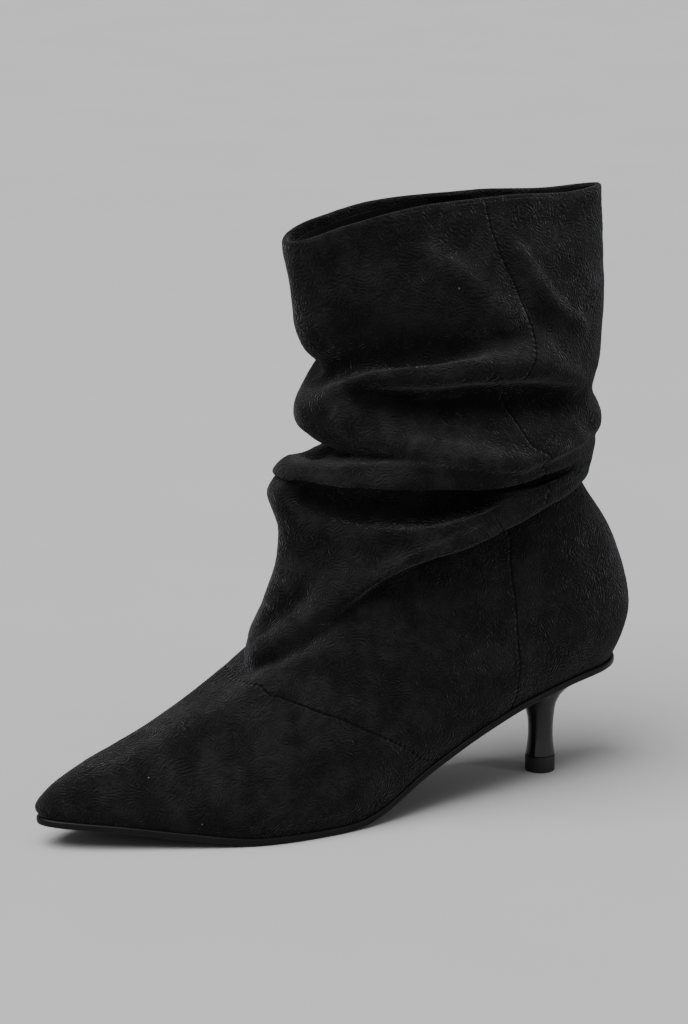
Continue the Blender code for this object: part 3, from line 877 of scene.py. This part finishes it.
def model_outsole(sizes):
    last = Last(sizes)
    feather = last.ring(ROWS[0], turns_of(AROUND))
    profile = []
    for out, up in SOLE_EDGE:
        outline = grown(feather, sizes.sole_rim - out * MM)
        base = last.sole_height(outline[:, 0])
        profile.append(raised(outline, base + up * (sizes.sole_thickness - SOLE_GAP)))
    rings = [
        *covered(profile[0], last.sole_height, INWARDS[::-1]),
        *profile,
        *covered(profile[-1], lambda x: last.feather_height(x) - SOLE_GAP, INWARDS),
    ]
    return grid_piece("outsole", np.array(rings), place_of(sizes))


def seat_outline(last, sizes):
    """The heel's top in plan: the back of the upper's lower edge, cut straight at the breast."""
    feather = last.ring(ROWS[0], turns_of(AROUND))
    turns = turns_of(HEEL_AROUND)
    back = feather[0, 0] + sizes.heel_inset
    x = back + (sizes.foot_length * BREAST - back) * (1 - np.cos(turns)) / 2
    half_count = AROUND // 2 + 1
    outer = np.interp(x, feather[:half_count, 0], feather[:half_count, 1])
    inner_points = np.concatenate([feather[half_count - 1 :], feather[:1]])[::-1]
    inner = np.interp(x, inner_points[:, 0], inner_points[:, 1])
    side = np.sin(turns)
    full = np.clip(np.abs(side) * BREAST_FULL, 0, 1)
    y = np.where(side >= 0, outer - sizes.heel_inset, inner + sizes.heel_inset) * full
    return np.column_stack([x, y])


def model_heel(sizes):
    last = Last(sizes)
    seat = seat_outline(last, sizes)
    reach = (seat[:, 0] - seat[:, 0].min()) / np.ptp(seat[:, 0])
    width = seat[:, 1] / np.abs(seat[:, 1]).max()
    turns = turns_of(HEEL_AROUND)
    rows = [raised(seat, last.sole_height(seat[:, 0]) - SOLE_GAP)]
    for row in HEEL_ROWS:
        share = reach * (1 - row.round) + (1 - np.cos(turns)) / 2 * row.round
        side = width * (1 - row.round) + np.sin(turns) * row.round
        x = sizes.foot_length * (row.back + (row.front - row.back) * share)
        y = sizes.ball_width * row.half * side
        top = last.sole_height(x) - SOLE_GAP
        z = top + (sizes.tip_height + sizes.gap - top) * row.fall
        rows.append(np.column_stack([x, y, z]))
    ends = [2 * rows[0] - rows[1], *rows, 2 * rows[-1] - rows[-2]]
    rings = []
    for i in range(len(rows) - 1):
        rings += [between(*ends[i : i + 4], k / HEEL_STEPS) for k in range(HEEL_STEPS)]
    rings.append(rows[-1])
    foot = rows[-1][0, 2]
    rings = [
        *covered(seat, lambda x: last.sole_height(x) - SOLE_GAP, INWARDS[::-1]),
        *rings,
        *covered(rows[-1][:, :2], lambda x: np.full(len(x), foot), INWARDS),
    ]
    return grid_piece("heel", np.array(rings), place_of(sizes))


def model_heel_tip(sizes):
    """The small piece that the heel stands on: a turned disc whose edge is rounded off by wear."""
    low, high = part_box("heel_tip")
    middle = (low + high) / 2
    bpy.ops.object.select_all(action="DESELECT")
    bpy.ops.mesh.primitive_cylinder_add(
        vertices=TIP_AROUND, radius=sizes.tip_radius, depth=sizes.tip_height, location=middle
    )
    piece = bpy.context.active_object
    piece.name = "heel_tip"
    bpy.ops.object.transform_apply(location=True, rotation=True, scale=True)
    bpy.ops.object.mode_set(mode="EDIT")
    bpy.ops.mesh.select_mode(type="FACE")
    bpy.ops.mesh.select_all(action="DESELECT")
    bpy.ops.object.mode_set(mode="OBJECT")
    for face in piece.data.polygons:
        face.select = abs(face.normal.z) > END_FACE
    bpy.ops.object.mode_set(mode="EDIT")
    bpy.ops.mesh.inset(thickness=TIP_INSET)
    bpy.ops.mesh.inset(thickness=TIP_INSET)
    bpy.ops.mesh.select_all(action="DESELECT")
    bpy.ops.object.mode_set(mode="OBJECT")
    bevel = piece.modifiers.new("worn edge", "BEVEL")
    bevel.width = TIP_EDGE
    bevel.segments = 3
    bevel.limit_method = "ANGLE"
    bpy.ops.object.modifier_apply(modifier=bevel.name)
    return piece


class Finish:
    """A procedural material, with short ways to add and join its nodes."""

    def __init__(self, name, **constants):
        self.material = bpy.data.materials.new(name)
        self.material.use_nodes = True
        self.tree = self.material.node_tree
        self.shader = self.tree.nodes["Principled BSDF"]
        for key, value in constants.items():
            socket = key.replace("_", " ").title().replace("Ior", "IOR")
            self.shader.inputs[socket].default_value = value
        self.place = self.tree.nodes.new("ShaderNodeTexCoord").outputs["Object"]

    def add(self, kind, settings=(), **inputs):
        node = self.tree.nodes.new("ShaderNode" + kind)
        for key, value in dict(settings).items():
            setattr(node, key, value)
        for key, value in inputs.items():
            self.give(node.inputs[key.replace("_", " ")], value)
        return node

    def give(self, socket, value):
        if isinstance(value, bpy.types.NodeSocket):
            self.tree.links.new(value, socket)
        else:
            socket.default_value = value

    def noise(self, scale, detail):
        return self.add("TexNoise", Vector=self.place, Scale=scale, Detail=detail).outputs["Fac"]

    def ranged(self, value, low, high, start=0.0, end=1.0):
        node = self.add("MapRange", {"interpolation_type": "SMOOTHSTEP"}, Value=value)
        for key, number in (("From Min", low), ("From Max", high), ("To Min", start), ("To Max", end)):
            node.inputs[key].default_value = number
        return node.outputs["Result"]

    def maths(self, operation, *values):
        node = self.add("Math", {"operation": operation})
        for socket, value in zip(node.inputs, values):
            self.give(socket, value)
        return node.outputs["Value"]

    def mixed(self, share, first, second, blend="MIX"):
        node = self.add("Mix", {"data_type": "RGBA", "blend_type": blend})
        for key, value in (("Factor_Float", share), ("A_Color", first), ("B_Color", second)):
            socket = next(s for s in node.inputs if s.identifier == key)
            if isinstance(value, tuple):
                value = (*value, 1.0)
            self.give(socket, value)
        return next(s for s in node.outputs if s.identifier == "Result_Color")

    def shaded(self, share, colour, times):
        """A share from a colour to the same colour so many times as bright."""
        return self.mixed(share, tuple(colour), tuple(times * c for c in colour))

    def bump(self, height, strength, distance, normal=None):
        node = self.add("Bump", Height=height, Strength=strength, Distance=distance)
        if normal:
            self.tree.links.new(normal, node.inputs["Normal"])
        return node.outputs["Normal"]

    def attribute(self, name):
        return self.add("Attribute", {"attribute_name": name}).outputs["Fac"]

    def wear(self, **sockets):
        for key, value in sockets.items():
            self.give(self.shader.inputs[key.replace("_", " ").title()], value)
        return self.material


def suede_finish(colours):
    """Black suede: patches of nap brushed both ways, short curled wrinkles with painted highlight on
    their crests, painted shade in the creases and painted light on the ridges of the folds, and a few
    specks of lint.
    """
    f = Finish(
        "black suede", roughness=0.95, specular_ior_level=0.10, sheen_weight=0.095, sheen_roughness=0.40
    )
    f.shader.inputs["Sheen Tint"].default_value = (0.93, 0.94, 1.0, 1.0)
    patches = f.ranged(f.noise(85, 4.0), 0.36, 0.64)
    mottle = f.ranged(f.noise(260, 3.0), 0.35, 0.70)
    nap = f.mixed(patches, tuple(colours.suede), tuple(colours.suede_raised))
    swirl = f.add("TexNoise", Vector=f.place, Scale=150.0, Detail=1.0).outputs["Color"]
    lie = f.add("VectorMath", {"operation": "SUBTRACT"})
    f.give(lie.inputs[0], swirl)
    lie.inputs[1].default_value = (0.5, 0.5, 0.5)
    curl = f.add("TexGabor", {"gabor_type": "3D"}, Vector=f.place)
    curl.inputs["Scale"].default_value = 370.0
    curl.inputs["Frequency"].default_value = 2.2
    curl.inputs["Anisotropy"].default_value = 0.8
    oriented = next(s for s in curl.inputs if s.name == "Orientation" and s.type == "VECTOR")
    f.give(oriented, lie.outputs["Vector"])
    wrinkle = curl.outputs["Value"]
    # Painted highlight: the crests of the curled wrinkles are painted up to 1.6 times as bright as the
    # raised suede, as if lit.
    painted_crest_light = f.ranged(wrinkle, 0.35, 0.80, 0.0, 0.40)
    lit = f.mixed(painted_crest_light, nap, tuple(1.6 * c for c in colours.suede_raised))
    tone = f.mixed(f.maths("MULTIPLY", mottle, 0.45), lit, tuple(0.6 * c for c in colours.suede))
    # Painted shade and painted light from the fold heights: creases are painted down to 0.3 times as
    # bright, and ridges up to 1.45 times as bright.
    fold = f.attribute("fold")
    wear_and_painted_shade = f.maths("MULTIPLY", f.ranged(fold, -3.5, -0.3, 0.30, 1.0), f.ranged(fold, 0.4, 2.4, 1.0, 1.45))
    tone = f.mixed(1.0, tone, wear_and_painted_shade, "MULTIPLY")
    across = f.maths("ABSOLUTE", f.attribute("seam"))

    def over_seam(*span):
        return f.maths("MULTIPLY", f.ranged(across, *span), f.attribute("seam_near"))

    tone = f.mixed(over_seam(0.2, 0.75, 1.0, 0.0), tone, SEAM_COLOUR)
    spots = f.add("TexVoronoi", Vector=f.place, Scale=60.0).outputs["Distance"]
    tone = f.mixed(f.ranged(spots, 0.014, 0.022, 1.0, 0.0), tone, tuple(colours.lint))
    pucker = f.maths("SINE", f.maths("MULTIPLY", f.attribute("seam_run"), PUCKERS))
    normal = f.bump(f.noise(1100, 3.0), 0.7, 0.0008)
    curled = f.maths("MULTIPLY", wrinkle, f.ranged(f.noise(45, 2.0), 0.35, 0.65, 0.50, 1.0))
    normal = f.bump(curled, 0.8, 0.0014, normal)
    puckers = f.maths("MULTIPLY", pucker, over_seam(0.4, 1.8, 1.0, 0.0))
    normal = f.bump(puckers, 0.45, 0.0004, normal)
    normal = f.bump(over_seam(0.0, 1.0, -1.0, 0.0), 0.55, 0.0006, normal)
    return f.wear(base_color=tone, normal=normal)


def lining_finish(colours):
    """A smooth black lining with a faint weave."""
    f = Finish("black lining", roughness=0.75, specular_ior_level=0.3)
    tone = f.shaded(f.noise(600, 2.0), colours.lining, times=1.7)
    return f.wear(base_color=tone, normal=f.bump(f.noise(2200, 1.0), 0.3, 0.0002))


def sole_finish(colours):
    """Satin black sole with fine grain below."""
    f = Finish("black sole", roughness=0.40, specular_ior_level=0.12)
    tone = f.shaded(f.noise(90, 3.0), colours.sole, times=1.5)
    gloss = f.ranged(f.noise(140, 3.0), 0.3, 0.7, 0.32, 0.48)
    return f.wear(base_color=tone, roughness=gloss, normal=f.bump(f.noise(1500, 2.0), 0.15, 0.0002))


def gloss_finish(colours):
    """Lacquered black heel, with the faint waviness of a sprayed coat."""
    f = Finish(
        "black lacquer", roughness=0.3, specular_ior_level=0.1, coat_weight=0.75, coat_roughness=0.03
    )
    tone = f.shaded(f.noise(60, 2.0), colours.gloss, times=1.4)
    gloss = f.ranged(f.noise(300, 3.0), 0.3, 0.7, 0.25, 0.40)
    return f.wear(base_color=tone, roughness=gloss, normal=f.bump(f.noise(80, 1.0), 0.06, 0.0004))


def rubber_finish(colours):
    """Matte black tip, a little scuffed."""
    f = Finish("black rubber", roughness=0.62, specular_ior_level=0.4)
    tone = f.shaded(f.noise(500, 3.0), colours.rubber, times=1.9)
    return f.wear(base_color=tone, normal=f.bump(f.noise(1800, 2.0), 0.3, 0.0002))


class BOOT_OT_upper(bpy.types.Operator):
    """Builds the suede upper"""

    bl_idname = "boot.upper"
    bl_label = "Upper"

    def execute(self, context):
        return built(context.scene, model_upper, suede_finish, "upper")


class BOOT_OT_lining(bpy.types.Operator):
    """Builds the lining inside the upper"""

    bl_idname = "boot.lining"
    bl_label = "Lining"

    def execute(self, context):
        return built(context.scene, model_lining, lining_finish, None)


class BOOT_OT_insole(bpy.types.Operator):
    """Builds the insole"""

    bl_idname = "boot.insole"
    bl_label = "Insole"

    def execute(self, context):
        return built(context.scene, model_insole, lining_finish, "insole")


class BOOT_OT_outsole(bpy.types.Operator):
    """Builds the outsole"""

    bl_idname = "boot.outsole"
    bl_label = "Outsole"

    def execute(self, context):
        return built(context.scene, model_outsole, sole_finish, "outsole")


class BOOT_OT_heel(bpy.types.Operator):
    """Builds the heel and its tip"""

    bl_idname = "boot.heel"
    bl_label = "Heel and tip"

    def execute(self, context):
        built(context.scene, model_heel, gloss_finish, "heel", sharp=50)
        return built(context.scene, model_heel_tip, rubber_finish, "heel_tip")


def direction(azimuth, elevation):
    """From the boot towards a place round it: 0 degrees is in front of its inner side."""
    a, e = math.radians(azimuth), math.radians(elevation)
    return Vector((math.sin(a) * math.cos(e), -math.cos(a) * math.cos(e), math.sin(e)))


def looking_back(towards):
    """The rotation of a light or camera that looks back along a direction."""
    return (-towards).to_track_quat("-Z", "Y").to_euler()


def add_sun(name, strength, spread, azimuth, elevation):
    """An even soft light from one side, as wide as its spread in degrees."""
    towards = direction(azimuth, elevation)
    bpy.ops.object.light_add(type="SUN", location=2 * towards, rotation=looking_back(towards))
    lamp = bpy.context.active_object
    lamp.name = name
    lamp.data.energy = strength
    lamp.data.angle = math.radians(spread)


def add_strip(name, power, wide, azimuth, distance):
    """A tall narrow light aimed at the boot from low down."""
    towards = direction(azimuth, STRIP_ELEVATION)
    place = Vector(VIEW_TARGET) + distance * towards
    bpy.ops.object.light_add(type="AREA", location=place, rotation=looking_back(towards))
    lamp = bpy.context.active_object
    lamp.name = name
    lamp.data.energy = power
    lamp.data.shape = "RECTANGLE"
    lamp.data.size = wide
    lamp.data.size_y = STRIP_HEIGHT


class BOOT_OT_stage(bpy.types.Operator):
    """Sets up the floor, the lights and the camera"""

    bl_idname = "boot.stage"
    bl_label = "Stage"

    def execute(self, context):
        studio = context.scene.boot_studio
        bpy.ops.object.select_all(action="DESELECT")
        bpy.ops.mesh.primitive_plane_add(size=FLOOR_SIZE, location=(0, 0, 0))
        floor = context.active_object
        floor.name = "floor"
        paper = Finish("seamless paper", roughness=0.9, specular_ior_level=0.1)
        mottle = paper.ranged(paper.noise(9.0, 3.0), 0.3, 0.7)
        paper.wear(base_color=paper.shaded(mottle, studio.floor, times=0.975))
        floor.data.materials.append(paper.material)
        world = bpy.data.worlds.new("studio")
        world.use_nodes = True
        sky = world.node_tree.nodes["Background"]
        sky.inputs["Color"].default_value = (1, 1, 1, 1)
        sky.inputs["Strength"].default_value = studio.sky
        context.scene.world = world
        add_sun("key", studio.key, spread=50, azimuth=112, elevation=62)
        add_sun("top", studio.top, spread=60, azimuth=150, elevation=78)
        add_strip("left strip", studio.strips, wide=0.10, azimuth=124, distance=1.5)
        add_strip("right strip", 2.2 * studio.strips, wide=0.08, azimuth=226, distance=1.3)
        towards = direction(VIEW_AZIMUTH, VIEW_ELEVATION)
        place = Vector(VIEW_TARGET) + VIEW_DISTANCE * towards
        bpy.ops.object.camera_add(location=place, rotation=looking_back(towards))
        camera = context.active_object
        camera.name = "camera"
        camera.data.lens = VIEW_LENS
        camera.data.sensor_width = SENSOR_WIDTH
        camera.data.clip_end = 200.0
        context.scene.camera = camera
        return {"FINISHED"}


class BOOT_PT_panel(bpy.types.Panel):
    """Lists the boot's pieces, sizes and colours"""

    bl_label = "Slouch Boot"
    bl_idname = "BOOT_PT_panel"
    bl_space_type = "VIEW_3D"
    bl_region_type = "UI"
    bl_category = "Boot"

    def draw(self, context):
        for operator in OPERATORS:
            self.layout.operator(operator.bl_idname)
        for group in (context.scene.boot_sizes, context.scene.boot_finish, context.scene.boot_studio):
            box = self.layout.box()
            for key in group.__annotations__:
                box.prop(group, key)


OPERATORS = (BOOT_OT_upper, BOOT_OT_lining, BOOT_OT_insole, BOOT_OT_outsole, BOOT_OT_heel, BOOT_OT_stage)
GROUPS = (BootSizes, BootFinish, BootStudio)


def register():
    for kind in (*GROUPS, *OPERATORS, BOOT_PT_panel):
        bpy.utils.register_class(kind)
    bpy.types.Scene.boot_sizes = PointerProperty(type=BootSizes)
    bpy.types.Scene.boot_finish = PointerProperty(type=BootFinish)
    bpy.types.Scene.boot_studio = PointerProperty(type=BootStudio)


def unregister():
    del bpy.types.Scene.boot_sizes, bpy.types.Scene.boot_finish, bpy.types.Scene.boot_studio
    for kind in (BOOT_PT_panel, *OPERATORS[::-1], *GROUPS[::-1]):
        bpy.utils.unregister_class(kind)


def main():
    register()
    bpy.ops.boot.upper()
    bpy.ops.boot.lining()
    bpy.ops.boot.insole()
    bpy.ops.boot.outsole()
    bpy.ops.boot.heel()
    bpy.ops.boot.stage()


if __name__ == "__main__":
    main()
